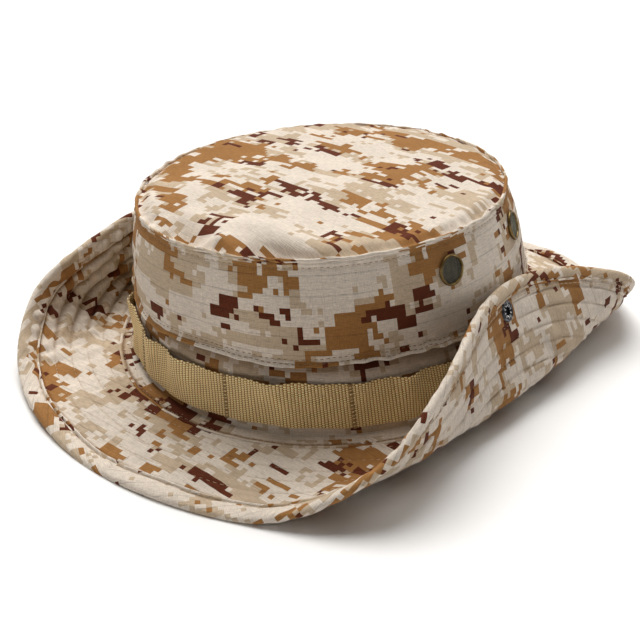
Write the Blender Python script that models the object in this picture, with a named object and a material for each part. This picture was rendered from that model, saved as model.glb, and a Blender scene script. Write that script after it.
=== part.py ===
"""Boonie hat, lying on a table with both sides of its brim turned up and snapped to the crown.

Frame: +Z up from the table, the hat's front faces -Y, +X is the wearer's left. Lengths are in metres.
The origin is under the middle of the hat, on the table. The soft parts are plain closed solids.
"""

import functools
import math

import bmesh
import bpy
import numpy as np
from mathutils import Matrix, Vector

MM = 0.001

# Crown: an upright oval wall. Heights are measured from the seam between the crown and the brim.
HEAD_HALF_WIDTH = 88.5 * MM
HEAD_HALF_LENGTH = 101.0 * MM
SEAM_HEIGHT = 6.6 * MM
WEBBING_FOOT = 5.5 * MM
WEBBING_WIDTH = 20.0 * MM
TUCK_HEIGHT = 33.6 * MM
CROWN_HEIGHT = 73.0 * MM
TAPER_AT_WEBBING = 2.5 * MM
TAPER_AT_TUCK = 4.3 * MM
TAPER_AT_TOP = 11.8 * MM
SIDE_BULGE = 1.6 * MM
TOP_LEAN_X = -5.4 * MM
TOP_LEAN_Y = -7.2 * MM
TOP_TILT_X = 0.05
TOP_TILT_Y = -0.02
TOP_DOME = 5.0 * MM

# Cloth thicknesses, and the gap that keeps sewn pieces apart.
GAP = 0.3 * MM
CLOTH = 0.9 * MM
WEBBING_THICKNESS = 1.2 * MM
SWEATBAND_THICKNESS = 0.8 * MM
SWEATBAND_WIDTH = 28.0 * MM
SWEATBAND_FOOT = 1.0 * MM
PLY = 0.5 * MM
INTERLINING = 0.4 * MM
BINDING = 0.5 * MM
BINDING_WIDTH = 5.5 * MM

# Brim: a flat oval ring of cloth, bent up along a curved fold line on each side.
SEAM_FLARE = 5.5 * MM
BRIM_WIDTH = 54.0 * MM
BINDING_BACK = 1.0 - BINDING_WIDTH / BRIM_WIDTH
PLY_EDGE = 1.0 - (BINDING + GAP) / BRIM_WIDTH
FRONT_TRIM = 10.2 * MM
BACK_TRIM = 12.0 * MM
BRIM_DROOP = 6.0 * MM
SIDE_DROOP = 1.5 * MM
LYING_DROOP = 4.8 * MM
FOLD_RADIUS = 7.3 * MM
FOLD_RADIUS_GROWTH = 19.9 * MM
FOLD_INSET_FRONT = 19.3 * MM
FOLD_INSET_BACK = 21.9 * MM
FOLD_X = {"right": 91.4 * MM, "left": 95.0 * MM}
# Fold angle in degrees at mid length, its change per 100 mm towards the back, and its curvature.
FOLD_ANGLE = {"right": (110.7, 33.6, -21.4), "left": (107.2, 13.9, 0.5)}
FOLD_SPAN = 100.0 * MM

# Flap hinges: the axis runs along Y on the outer skin of the fold.
HINGE_OFFSET = 8.6 * MM
HINGE_GAP = 0.2 * MM

# Hardware.
VENT_RADIUS = 6.8 * MM
VENT_BARREL_RADIUS = 6.0 * MM
VENT_SCREEN_RADIUS = 5.2 * MM
VENT_HOLE_RADIUS = 6.3 * MM
VENT_WASHER_RADIUS = 7.5 * MM
VENT_HEIGHT = 61.0 * MM
VENT_ANGLES = {"front": -10.3, "back": 25.1}
SNAP_RADIUS = 4.8 * MM
STUD_RADIUS = 4.3 * MM
SNAP_EDGE_DISTANCE = 10.8 * MM
SNAP_ANGLE = 1.2

# Mesh density.
AROUND = 48
ROUND = 12
HARDWARE_LIFT = 0.35 * MM

CENTRE_SHIFT = Vector((-1.5 * MM, 0.9 * MM, SEAM_HEIGHT))

SIDES = {"right": 1.0, "left": -1.0}


def smoothstep(value):
    value = min(max(value, 0.0), 1.0)
    return value * value * (3.0 - 2.0 * value)


def crown_taper(height):
    heights = (0.0, WEBBING_FOOT, WEBBING_FOOT + WEBBING_WIDTH, TUCK_HEIGHT, CROWN_HEIGHT)
    tapers = (0.0, 0.0, TAPER_AT_WEBBING, TAPER_AT_TUCK, TAPER_AT_TOP)
    taper = float(np.interp(height, heights, tapers))
    share = (height - TUCK_HEIGHT) / (CROWN_HEIGHT - TUCK_HEIGHT)
    if 0.0 < share < 1.0:
        taper -= SIDE_BULGE * math.sin(math.pi * share)
    return taper


def crown_point(angle, height, offset=0.0):
    """A point on the crown wall at this angle from +X, moved outwards by offset."""
    inset = crown_taper(height) - offset
    lean = height / CROWN_HEIGHT
    x = (HEAD_HALF_WIDTH - inset) * math.cos(angle) + TOP_LEAN_X * lean
    y = (HEAD_HALF_LENGTH - inset) * math.sin(angle) + TOP_LEAN_Y * lean
    tilt = smoothstep((height - TUCK_HEIGHT) / (CROWN_HEIGHT - TUCK_HEIGHT))
    z = height + tilt * (TOP_TILT_X * x + TOP_TILT_Y * y)
    return Vector((x, y, z)) + CENTRE_SHIFT


def crown_frame(angle, height, offset=0.0):
    """A point on the crown wall, and a rotation whose Z axis is the wall's outward normal there."""
    step = 1e-4
    origin = crown_point(angle, height, offset)
    along = crown_point(angle + step, height, offset) - origin
    upward = crown_point(angle, height + 0.001, offset) - origin
    normal = along.cross(upward).normalized()
    return origin, normal


def brim_outline(angle, share):
    """Flat cloth coordinates of the brim at this angle; share runs from 0 at the seam to 1 at the edge."""
    trim = FRONT_TRIM if math.sin(angle) < 0 else BACK_TRIM
    width = BRIM_WIDTH - trim * math.sin(angle) ** 2
    out = SEAM_FLARE + 2.0 * GAP + share * width
    u = (HEAD_HALF_WIDTH + out) * math.cos(angle)
    v = (HEAD_HALF_LENGTH + out) * math.sin(angle)
    return u, v


def brim_middle(angle, share):
    """A point on the middle surface of the bent brim."""
    u, v = brim_outline(angle, share)
    side = "right" if u > 0 else "left"
    along = v / FOLD_SPAN
    base, slope, curve = FOLD_ANGLE[side]
    fold_angle = math.radians(min(max(base + slope * along + curve * along**2, 1.0), 149.0))
    radius = FOLD_RADIUS + FOLD_RADIUS_GROWTH * along**2
    fold_inset = FOLD_INSET_FRONT if v < 0 else FOLD_INSET_BACK
    fold_x = FOLD_X[side] - fold_inset * along**2
    past = max(abs(u) - fold_x, 0.0)
    arc = min(past, radius * fold_angle)
    straight = past - arc
    x = min(abs(u), fold_x) + radius * math.sin(arc / radius) + straight * math.cos(fold_angle)
    z = radius * (1.0 - math.cos(arc / radius)) + straight * math.sin(fold_angle)
    endwise = math.sin(angle) ** 2
    droop = BRIM_DROOP * endwise + SIDE_DROOP * (1.0 - endwise)
    z -= min(droop * share, LYING_DROOP)
    return Vector((math.copysign(x, u), v, z)) + CENTRE_SHIFT


def brim_frame(angle, share):
    """A point on the brim's middle surface and its normal, on the side that faces up when flat."""
    step = 1e-3
    across = brim_middle(angle, share + step) - brim_middle(angle, share - step)
    around = brim_middle(angle + step, share) - brim_middle(angle - step, share)
    return brim_middle(angle, share), across.cross(around).normalized()


def brim_point(angle, share, offset):
    point, normal = brim_frame(angle, share)
    return point + normal * offset


def principled(name, colour, roughness, metallic=0.0):
    material = bpy.data.materials.new(name)
    material.use_nodes = True
    shader = material.node_tree.nodes["Principled BSDF"]
    shader.inputs["Base Color"].default_value = (*colour, 1.0)
    shader.inputs["Roughness"].default_value = roughness
    shader.inputs["Metallic"].default_value = metallic
    return material


def finish_object(name, bm, colour, roughness, metallic=0.0, smooth_angle=40.0):
    bmesh.ops.recalc_face_normals(bm, faces=bm.faces)
    mesh = bpy.data.meshes.new(name)
    bm.to_mesh(mesh)
    bm.free()
    mesh.shade_smooth()
    mesh.set_sharp_from_angle(angle=math.radians(smooth_angle))
    mesh.materials.append(principled(name, colour, roughness, metallic))
    obj = bpy.data.objects.new(name, mesh)
    bpy.context.scene.collection.objects.link(obj)
    return obj


def angles_around(count=AROUND):
    return [2.0 * math.pi * i / count for i in range(count)]


def bridge_rows(bm, first, second, closed, outward=True):
    """Joins two rows with triangles. outward picks the diagonal, so that parallel skins crease alike."""
    count = len(first)
    for i in range(count if closed else count - 1):
        j = (i + 1) % count
        if outward:
            bm.faces.new((first[i], first[j], second[j]))
            bm.faces.new((first[i], second[j], second[i]))
        else:
            bm.faces.new((first[i], first[j], second[i]))
            bm.faces.new((first[j], second[j], second[i]))


def loop_of_rows(rows, keys, closed=True):
    """A solid whose cross-section is the loop of rows; each row is a line of points around the hat.

    A row's key is its place across the cloth, which settles the diagonals.
    """
    bm = bmesh.new()
    lines = [[bm.verts.new(point) for point in row] for row in rows]
    for i, first in enumerate(lines):
        j = (i + 1) % len(lines)
        bridge_rows(bm, first, lines[j], closed, keys[i] <= keys[j])
    if not closed:
        for end in (0, -1):
            bm.faces.new([line[end] for line in lines])
    return bm


def crown_ring(profile, angles, closed=True):
    """A band on the crown wall. The profile is a loop of (height, offset) pairs."""
    rows = [[crown_point(a, height, offset) for a in angles] for height, offset in profile]
    return loop_of_rows(rows, [height for height, _ in profile], closed)


def shell_profile(heights, outer, thickness):
    """A profile that goes up the outer face and comes down the inner face."""
    up = [(height, outer) for height in heights]
    down = [(height, outer - thickness) for height in reversed(heights)]
    return up + down


def top_panel():
    """The oval top: a shallow dome of even thickness."""
    rings = (1.0, 0.93, 0.75, 0.45)
    bm = bmesh.new()
    centre = sum((crown_point(a, CROWN_HEIGHT) for a in angles_around()), Vector()) / AROUND
    skins = []
    for lift in (0.0, -CLOTH):
        rows = []
        for ring in rings:
            row = []
            for a in angles_around():
                rim = crown_point(a, CROWN_HEIGHT, -GAP)
                point = centre.lerp(rim, ring)
                point.z += lift + TOP_DOME * (1.0 - ring**2) + 2.0 * CLOTH
                row.append(bm.verts.new(point))
            rows.append(row)
        for first, second in zip(rows, rows[1:]):
            bridge_rows(bm, first, second, True)
        pole = bm.verts.new(centre + Vector((0, 0, lift + TOP_DOME + 2.0 * CLOTH)))
        inner = rows[-1]
        for i in range(AROUND):
            bm.faces.new((inner[i], inner[(i + 1) % AROUND], pole))
        skins.append(rows[0])
    bridge_rows(bm, skins[0], skins[1], True)
    return bm


def keep_one_side(bm, point, normal):
    """Cuts the closed body with a plane, keeps the part behind the normal and caps the cut."""
    bmesh.ops.bisect_plane(
        bm,
        geom=bm.verts[:] + bm.edges[:] + bm.faces[:],
        dist=1e-7,
        plane_co=point,
        plane_no=normal,
        clear_outer=True,
    )
    rim = [edge for edge in bm.edges if edge.is_boundary]
    bmesh.ops.holes_fill(bm, edges=rim, sides=0)
    wide = [face for face in bm.faces if len(face.verts) > 4]
    bmesh.ops.triangulate(bm, faces=wide, ngon_method="EAR_CLIP")
    return bm


def hinge_axis(side):
    reach = HINGE_OFFSET * math.sqrt(0.5)
    x = SIDES[side] * (FOLD_X[side] + reach)
    z = FOLD_RADIUS - SIDE_DROOP * 0.2 - reach
    return Vector((x, 0.0, z)) + CENTRE_SHIFT


def cut_plane(side):
    """The plane between the flap and the rest of the brim, through the hinge axis."""
    normal = Vector((SIDES[side], 0.0, 1.0)).normalized()
    return hinge_axis(side), normal


def drop_beyond(bm, direction):
    """Deletes the loose piece of a cut body that lies on this side of the middle of the hat."""
    strays = [vert for vert in bm.verts if vert.co.dot(direction) > 0]
    bmesh.ops.delete(bm, geom=strays, context="VERTS")
    return bm


def fixed_part(make):
    body = make()
    for side in SIDES:
        point, normal = cut_plane(side)
        keep_one_side(body, point - normal * HINGE_GAP, normal)
    return body


def make_flaps(name, make, colour, roughness):
    for side, sign in SIDES.items():
        point, normal = cut_plane(side)
        flap = keep_one_side(make(), point + normal * HINGE_GAP, -normal)
        drop_beyond(flap, Vector((-sign, 0.0, 0.0)))
        obj = finish_object(f"{name}_flap_{side}", flap, colour, roughness)
        hang_on_hinge(obj, side)


def hang_on_hinge(obj, side):
    pivot = bpy.data.objects[f"hinge_{side}"]
    obj.parent = pivot
    obj.matrix_parent_inverse = Matrix.Translation(-pivot.location)


def brim_shares():
    """Rows across the brim, closer together where the fold is."""
    return [0.0, 0.08, 0.17, 0.27, 0.42, 0.65, BINDING_BACK, PLY_EDGE]


def brim_ring(section):
    """A solid ring of the bent brim. The section is a loop of (share, offset) pairs."""
    rows = [[brim_point(a, share, offset) for a in angles_around()] for share, offset in section]
    return loop_of_rows(rows, [share for share, _ in section])


def brim_ply(low, high):
    section = [(share, high) for share in brim_shares()]
    section += [(share, low) for share in reversed(brim_shares())]
    return brim_ring(section)


def brim_binding():
    half = INTERLINING / 2 + GAP + PLY
    inner = half + GAP
    outer = inner + BINDING
    turn = 1.0 - 0.2 * MM / BRIM_WIDTH
    edge = 1.0 + BINDING / BRIM_WIDTH
    section = (
        (BINDING_BACK, outer),
        (turn, outer),
        (edge, inner * 0.6),
        (edge, -inner * 0.6),
        (turn, -outer),
        (BINDING_BACK, -outer),
        (BINDING_BACK, -inner),
        (turn, -inner),
        (turn, inner),
        (BINDING_BACK, inner),
    )
    return brim_ring(section)


def turned(profile, origin, normal, segments=ROUND):
    """A round solid about the normal. The profile is a closed loop of (radius, height) pairs."""
    turn = normal.to_track_quat("Z", "Y").to_matrix().to_4x4()
    place = Matrix.Translation(origin) @ turn
    bm = bmesh.new()
    lines = []
    for radius, height in profile:
        if radius == 0.0:
            lines.append([bm.verts.new(place @ Vector((0.0, 0.0, height)))])
            continue
        line = []
        for a in angles_around(segments):
            local = Vector((radius * math.cos(a), radius * math.sin(a), height))
            line.append(bm.verts.new(place @ local))
        lines.append(line)
    for first, second in zip(lines, lines[1:] + lines[:1]):
        if len(first) > 1 and len(second) > 1:
            bridge_rows(bm, first, second, True)
        elif len(first) + len(second) > 2:
            pole, line = sorted((first, second), key=len)
            for i in range(segments):
                bm.faces.new((pole[0], line[i], line[(i + 1) % segments]))
    return bm


def vent(side, end):
    """One crown vent: a brass rim with a barrel through the cloth, a wire screen and an inner washer."""
    angle = math.radians(VENT_ANGLES[end])
    if side == "left":
        angle = math.pi - angle
    origin, normal = crown_frame(angle, VENT_HEIGHT)
    brass = (0.30, 0.24, 0.15)
    inside = -CLOTH - 0.9 * MM
    rim = (
        (VENT_BARREL_RADIUS - 0.5 * MM, inside),
        (VENT_BARREL_RADIUS, inside),
        (VENT_BARREL_RADIUS, HARDWARE_LIFT),
        (VENT_RADIUS, HARDWARE_LIFT),
        (VENT_RADIUS, HARDWARE_LIFT + 0.5 * MM),
        (VENT_RADIUS - 0.7 * MM, HARDWARE_LIFT + 1.1 * MM),
        (VENT_BARREL_RADIUS - 0.5 * MM, HARDWARE_LIFT + 0.8 * MM),
    )
    finish_object(f"vent_rim_{side}_{end}", turned(rim, origin, normal), brass, 0.45, 1.0)
    screen = (
        (0.0, 0.3 * MM),
        (VENT_SCREEN_RADIUS, 0.3 * MM),
        (VENT_SCREEN_RADIUS, -0.1 * MM),
        (0.0, -0.1 * MM),
    )
    screen_bm = turned(screen, origin, normal)
    finish_object(f"vent_screen_{side}_{end}", screen_bm, (0.08, 0.08, 0.08), 0.5, 1.0)
    washer_low = inside - 0.7 * MM
    washer_high = -CLOTH - GAP - 0.45 * MM
    washer = (
        (VENT_BARREL_RADIUS + GAP, washer_low),
        (VENT_WASHER_RADIUS, washer_low),
        (VENT_WASHER_RADIUS, washer_high),
        (VENT_BARREL_RADIUS + GAP, washer_high),
    )
    finish_object(f"vent_washer_{side}_{end}", turned(washer, origin, normal), brass, 0.5, 1.0)
    cutter_bm = turned(
        (
            (0.0, 4.0 * MM),
            (VENT_HOLE_RADIUS, 4.0 * MM),
            (VENT_HOLE_RADIUS, -4.0 * MM),
            (0.0, -4.0 * MM),
        ),
        origin,
        normal,
    )
    cutter = finish_object(f"cutter_vent_{side}_{end}", cutter_bm, brass, 0.5)
    cutter.hide_render = True
    cutter.display_type = "WIRE"
    hole = bpy.data.objects["crown_side_panel"].modifiers.new(f"hole_{side}_{end}", "BOOLEAN")
    hole.object = cutter
    hole.operation = "DIFFERENCE"
    hole.solver = "EXACT"


def snap(side):
    """One press snap: socket and outer ring on the flap, stud and inner ring on the crown."""
    steel = (0.10, 0.10, 0.11)
    angle = math.radians(SNAP_ANGLE)
    if side == "left":
        angle = math.pi - angle
    share = 1.0 - SNAP_EDGE_DISTANCE / BRIM_WIDTH
    face, normal = brim_frame(angle, share)
    skin = INTERLINING / 2 + GAP + PLY + HARDWARE_LIFT
    socket = (
        (SNAP_RADIUS, 0.0),
        (SNAP_RADIUS, 0.8 * MM),
        (SNAP_RADIUS - 1.2 * MM, 1.6 * MM),
        (2.6 * MM, 1.6 * MM),
        (2.6 * MM, 0.4 * MM),
        (0.0, 0.4 * MM),
        (0.0, 0.0),
    )
    obj = finish_object(
        f"snap_socket_{side}", turned(socket, face + normal * skin, normal), steel, 0.35, 1.0
    )
    hang_on_hinge(obj, side)
    ring = (
        (SNAP_RADIUS, 0.0),
        (SNAP_RADIUS, 0.6 * MM),
        (SNAP_RADIUS - 1.4 * MM, 1.1 * MM),
        (1.6 * MM, 0.7 * MM),
        (1.6 * MM, 0.0),
    )
    obj = finish_object(
        f"snap_ring_{side}", turned(ring, face - normal * skin, -normal), steel, 0.35, 1.0
    )
    hang_on_hinge(obj, side)
    seat, outward = crown_frame(*facing_crown_place(face, normal))
    stud = (
        (0.0, HARDWARE_LIFT),
        (STUD_RADIUS, HARDWARE_LIFT),
        (STUD_RADIUS, HARDWARE_LIFT + 0.5 * MM),
        (1.8 * MM, HARDWARE_LIFT + 0.8 * MM),
        (1.8 * MM, HARDWARE_LIFT + 1.2 * MM),
        (0.0, HARDWARE_LIFT + 1.4 * MM),
    )
    finish_object(f"snap_stud_{side}", turned(stud, seat, outward), steel, 0.35, 1.0)
    post_low = -CLOTH - 1.5 * MM
    post = (
        (0.0, post_low),
        (STUD_RADIUS - 0.5 * MM, post_low),
        (STUD_RADIUS - 0.5 * MM, post_low + 0.7 * MM),
        (0.0, post_low + 0.7 * MM),
    )
    finish_object(f"snap_post_{side}", turned(post, seat, outward), steel, 0.4, 1.0)


def facing_crown_place(face, normal):
    """The angle and height on the crown wall, above the tuck, that the socket's axis points at."""
    best = None
    for height in np.linspace(TUCK_HEIGHT + SNAP_RADIUS + GAP, CROWN_HEIGHT, 80):
        middle = CENTRE_SHIFT.y + TOP_LEAN_Y * height / CROWN_HEIGHT
        angle = math.asin((face.y - middle) / (HEAD_HALF_LENGTH - crown_taper(height)))
        if face.x < 0:
            angle = math.pi - angle
        miss = (crown_point(angle, height) - face).cross(normal).length
        if best is None or miss < best[0]:
            best = (miss, angle, height)
    return best[1], best[2]


def clear_scene():
    for obj in list(bpy.data.objects):
        bpy.data.objects.remove(obj, do_unlink=True)


def build_crown():
    cream = (0.62, 0.53, 0.42)
    tan = (0.48, 0.36, 0.22)
    side_low = TUCK_HEIGHT + GAP
    side_heights = [side_low + share * (CROWN_HEIGHT - side_low) for share in (0.0, 0.33, 0.67, 1.0)]
    side = crown_ring(shell_profile(side_heights, 0.0, CLOTH), angles_around())
    finish_object("crown_side_panel", side, cream, 0.9)
    finish_object("crown_top_panel", top_panel(), cream, 0.9)

    inner = -WEBBING_THICKNESS - GAP
    band = [
        (TUCK_HEIGHT - GAP, inner),
        (WEBBING_FOOT + WEBBING_WIDTH, inner),
        (WEBBING_FOOT - 0.4 * MM, inner),
        (WEBBING_FOOT - 2.0 * MM, inner + 1.2 * MM),
        (0.4 * MM, SEAM_FLARE),
        (-0.5 * MM, SEAM_FLARE),
        (WEBBING_FOOT - 2.9 * MM, inner + 1.1 * MM),
        (WEBBING_FOOT - 1.3 * MM, inner - 0.7 * MM),
        (WEBBING_FOOT + 1.0 * MM, inner - CLOTH),
        (WEBBING_FOOT + WEBBING_WIDTH, inner - CLOTH),
        (TUCK_HEIGHT - GAP, inner - CLOTH),
    ]
    finish_object("crown_lower_band", crown_ring(band, angles_around()), cream, 0.9)

    heights = [WEBBING_FOOT, WEBBING_FOOT + WEBBING_WIDTH]
    webbing = crown_ring(shell_profile(heights, 0.0, WEBBING_THICKNESS), angles_around())
    finish_object("branch_loop_webbing", webbing, tan, 0.7)

    sweat_outer = inner - CLOTH - GAP
    sweat_heights = [SWEATBAND_FOOT] + heights + [SWEATBAND_FOOT + SWEATBAND_WIDTH]
    sweatband = crown_ring(shell_profile(sweat_heights, sweat_outer, SWEATBAND_THICKNESS), angles_around())
    finish_object("sweatband", sweatband, (0.42, 0.33, 0.22), 0.9)

    label_outer = sweat_outer - SWEATBAND_THICKNESS - GAP
    label_angles = angles_around()[AROUND // 4 - 1 : AROUND // 4 + 2]
    label_heights = [WEBBING_FOOT + 2.0 * MM, WEBBING_FOOT + 18.0 * MM]
    label_profile = shell_profile(label_heights, label_outer, 0.4 * MM)
    label = crown_ring(label_profile, label_angles, closed=False)
    finish_object("size_label_blank", label, (0.75, 0.72, 0.66), 0.8)

    tape_heights = [CROWN_HEIGHT - 3.6 * MM, CROWN_HEIGHT - 0.5 * MM]
    tape = crown_ring(shell_profile(tape_heights, -CLOTH - GAP, 0.5 * MM), angles_around())
    finish_object("top_seam_tape", tape, tan, 0.9)


def build_brim():
    cream = (0.62, 0.53, 0.42)
    for side in SIDES:
        pivot = bpy.data.objects.new(f"hinge_{side}", None)
        pivot.location = hinge_axis(side)
        bpy.context.scene.collection.objects.link(pivot)
    core = INTERLINING / 2
    skin = core + GAP
    layers = {
        "brim_upper_ply": (skin, skin + PLY),
        "brim_interlining": (-core, core),
        "brim_under_ply": (-skin - PLY, -skin),
    }
    for name, (low, high) in layers.items():
        make = functools.partial(brim_ply, low, high)
        finish_object(name, fixed_part(make), cream, 0.9)
        make_flaps(name, make, cream, 0.9)
    for end, direction in (("front", 1.0), ("back", -1.0)):
        piece = drop_beyond(fixed_part(brim_binding), Vector((0.0, direction, 0.0)))
        finish_object(f"brim_edge_binding_{end}", piece, cream, 0.9)
    make_flaps("brim_edge_binding", brim_binding, cream, 0.9)


def main():
    clear_scene()
    build_crown()
    build_brim()
    for side in SIDES:
        for end in VENT_ANGLES:
            vent(side, end)
        snap(side)


main()
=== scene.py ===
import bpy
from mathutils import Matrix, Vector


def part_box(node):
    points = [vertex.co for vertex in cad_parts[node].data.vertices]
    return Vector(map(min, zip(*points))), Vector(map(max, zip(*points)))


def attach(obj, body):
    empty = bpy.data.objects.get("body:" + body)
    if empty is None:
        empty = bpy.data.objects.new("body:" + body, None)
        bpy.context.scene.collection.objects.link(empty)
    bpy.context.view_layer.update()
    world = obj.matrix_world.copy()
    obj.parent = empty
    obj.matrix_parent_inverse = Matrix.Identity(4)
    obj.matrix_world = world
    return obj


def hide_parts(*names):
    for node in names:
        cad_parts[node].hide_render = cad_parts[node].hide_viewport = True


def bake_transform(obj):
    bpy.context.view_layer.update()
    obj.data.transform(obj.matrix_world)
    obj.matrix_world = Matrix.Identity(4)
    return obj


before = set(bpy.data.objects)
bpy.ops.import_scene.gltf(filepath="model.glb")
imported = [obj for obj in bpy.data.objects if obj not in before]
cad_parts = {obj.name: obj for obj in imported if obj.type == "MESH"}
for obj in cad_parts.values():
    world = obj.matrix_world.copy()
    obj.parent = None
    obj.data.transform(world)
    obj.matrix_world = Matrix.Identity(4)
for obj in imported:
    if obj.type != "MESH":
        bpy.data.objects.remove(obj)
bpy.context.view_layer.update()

# The visual model of a boonie hat: sewn cloth panels, webbing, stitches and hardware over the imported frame.
# Lengths here are in mm until a mesh is made.
# Angles run round the crown from +X, and the front is at -90 degrees.

import math

import bpy
import numpy as np
from mathutils import Matrix, Vector

MM = 0.001
TURN = 2.0 * math.pi

# The shape of the crown and brim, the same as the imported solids'.
HEAD_HALF_WIDTH, HEAD_HALF_LENGTH = 88.5, 101.0
WEBBING_FOOT, WEBBING_WIDTH = 5.5, 20.0
TUCK_HEIGHT, CROWN_HEIGHT = 33.6, 73.0
TAPER_HEIGHTS = (0.0, WEBBING_FOOT, WEBBING_FOOT + WEBBING_WIDTH, TUCK_HEIGHT, CROWN_HEIGHT)
TAPERS = (0.0, 0.0, 2.5, 4.3, 11.8)
SIDE_BULGE = 1.6
TOP_LEAN = (-5.4, -7.2)
TOP_TILT = (0.05, -0.02)
SEAM_FLARE, SEAM_GAP = 5.5, 0.6
BRIM_WIDTH, FRONT_TRIM, BACK_TRIM = 54.0, 10.2, 12.0
BRIM_DROOP, SIDE_DROOP, LYING_DROOP = 6.0, 1.5, 4.8
FOLD_RADIUS, FOLD_RADIUS_GROWTH = 7.3, 19.9
FOLD_INSET_FRONT, FOLD_INSET_BACK = 19.3, 21.9
FOLD_X = {"right": 91.4, "left": 95.0}
FOLD_ANGLE = {"right": (110.7, 33.6, -21.4), "left": (107.2, 13.9, 0.5)}
FOLD_SPAN = 100.0
CENTRE_SHIFT = np.array((-1.5, 0.9, 6.6))

# Cloth detail.
CLOTH_THICKNESS = 0.8
PLY_FACE, PLY_BACK, STIFFENER_HALF = 0.95, 0.3, 0.15
TABLE_GAP = 0.04
STITCH_TABLE_GAP = 0.02
HEM_TOP, HEM_UNDER = 9.5, 6.4
QUILT_PITCH = 7.5
PLY_END = 2.4
HEM_LENGTH, HEM_BIAS = 455.0, (0.906, 0.423)
TOP_STITCH_DROP = 2.2
TUCK_STITCHES = (1.3, 2.8)
FLANGE_STITCHES = 1.9
BARTACKS = 11
BARTACK_STITCHES = 13
FIRST_BARTACK = math.radians(-76.7)
RIB_PITCH = 1.4
BEAD_PITCH = 1.0
RIPSTOP_PITCH = 2.5
WEAVE_PITCH = 0.55
STITCH_RADIUS, THICK_STITCH_RADIUS, STITCH_SINK = 0.19, 0.26, 0.30
TUCK_WAVE_REACH = 22.0
LABEL_HALF_ANGLE = 0.17

# How finely the meshes are cut.
CROWN_COLUMNS = 760
STITCH_COLUMNS = 900
LINING_COLUMNS = 520
SIDE_ROWS = 62
TOP_LINES = 231
BRIM_COLUMNS, HEM_COLUMNS, BRIM_ROWS = 441, 561, 80

# Hardware.
VENT_HEIGHT = 61.0
VENT_ANGLES = {"front": -10.3, "back": 25.1}
VENT_HOLE = 6.2
SNAP_ANGLE = 1.2
SNAP_EDGE_DISTANCE = 10.8
SIDES = {"right": 1.0, "left": -1.0}


def soft(value):
    value = np.clip(value, 0.0, 1.0)
    return value * value * (3.0 - 2.0 * value)


def bell(distance, width):
    return np.exp(-((distance / width) ** 2))


def lengths_along(points):
    """Length along a row of points, from 0."""
    steps = np.linalg.norm(np.diff(points, axis=0), axis=1)
    return np.concatenate(((0.0,), np.cumsum(steps)))


def paired(first, second):
    """Two arrays as pairs of coordinates."""
    return np.stack(np.broadcast_arrays(first, second), axis=-1)


def ripple(u, v, seed, wavelength, stretch=1.0, waves=12):
    """Smooth random relief, mostly between -1 and 1. stretch lengthens it along v."""
    rng = np.random.default_rng(seed)
    total = 0.0
    for _ in range(waves):
        turn, phase = rng.uniform(0.0, TURN, 2)
        rate = TURN / (wavelength * rng.uniform(0.7, 1.6))
        total = total + np.sin(rate * (u * math.cos(turn) + v * math.sin(turn) / stretch) + phase)
    return total / math.sqrt(waves)


def crown_taper(height):
    share = np.clip((height - TUCK_HEIGHT) / (CROWN_HEIGHT - TUCK_HEIGHT), 0.0, 1.0)
    return np.interp(height, TAPER_HEIGHTS, TAPERS) - SIDE_BULGE * np.sin(np.pi * share)


def crown_point(angle, height, offset=0.0):
    angle, height, offset = np.broadcast_arrays(angle, height, offset)
    inset = crown_taper(height) - offset
    lean = height / CROWN_HEIGHT
    x = (HEAD_HALF_WIDTH - inset) * np.cos(angle) + TOP_LEAN[0] * lean
    y = (HEAD_HALF_LENGTH - inset) * np.sin(angle) + TOP_LEAN[1] * lean
    tilt = soft((height - TUCK_HEIGHT) / (CROWN_HEIGHT - TUCK_HEIGHT))
    z = height + tilt * (TOP_TILT[0] * x + TOP_TILT[1] * y)
    return np.stack((x, y, z), axis=-1) + CENTRE_SHIFT


def unit(vectors):
    return vectors / np.linalg.norm(vectors, axis=-1, keepdims=True)


def crown_normal(angle, height):
    around = crown_point(angle + 1e-3, height) - crown_point(angle - 1e-3, height)
    upward = crown_point(angle, height + 0.5) - crown_point(angle, height - 0.5)
    return unit(np.cross(around, upward))


def brim_width(angle):
    return BRIM_WIDTH - np.where(np.sin(angle) < 0, FRONT_TRIM, BACK_TRIM) * np.sin(angle) ** 2


def brim_outline(angle, share):
    """Flat cloth coordinates of the brim; share runs from 0 at the seam to 1 at the edge."""
    out = SEAM_FLARE + SEAM_GAP + share * brim_width(angle)
    return (HEAD_HALF_WIDTH + out) * np.cos(angle), (HEAD_HALF_LENGTH + out) * np.sin(angle)


def brim_middle(angle, share):
    u, v = brim_outline(angle, share)
    along = v / FOLD_SPAN
    right = u > 0
    base, slope, curve = (np.where(right, r, l) for r, l in zip(FOLD_ANGLE["right"], FOLD_ANGLE["left"]))
    fold = np.radians(np.clip(base + slope * along + curve * along**2, 1.0, 149.0))
    radius = FOLD_RADIUS + FOLD_RADIUS_GROWTH * along**2
    inset = np.where(v < 0, FOLD_INSET_FRONT, FOLD_INSET_BACK)
    fold_x = np.where(right, FOLD_X["right"], FOLD_X["left"]) - inset * along**2
    past = np.maximum(np.abs(u) - fold_x, 0.0)
    arc = np.minimum(past, radius * fold)
    straight = past - arc
    x = np.minimum(np.abs(u), fold_x) + radius * np.sin(arc / radius) + straight * np.cos(fold)
    z = radius * (1.0 - np.cos(arc / radius)) + straight * np.sin(fold)
    endwise = np.sin(angle) ** 2
    droop = BRIM_DROOP * endwise + SIDE_DROOP * (1.0 - endwise)
    z = z - np.minimum(droop * share, LYING_DROOP)
    return np.stack((np.copysign(x, u), v, z), axis=-1) + CENTRE_SHIFT


def brim_normal(angle, share):
    across = brim_middle(angle, share + 1e-3) - brim_middle(angle, share - 1e-3)
    around = brim_middle(angle + 1e-3, share) - brim_middle(angle - 1e-3, share)
    return unit(np.cross(across, around))


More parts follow.
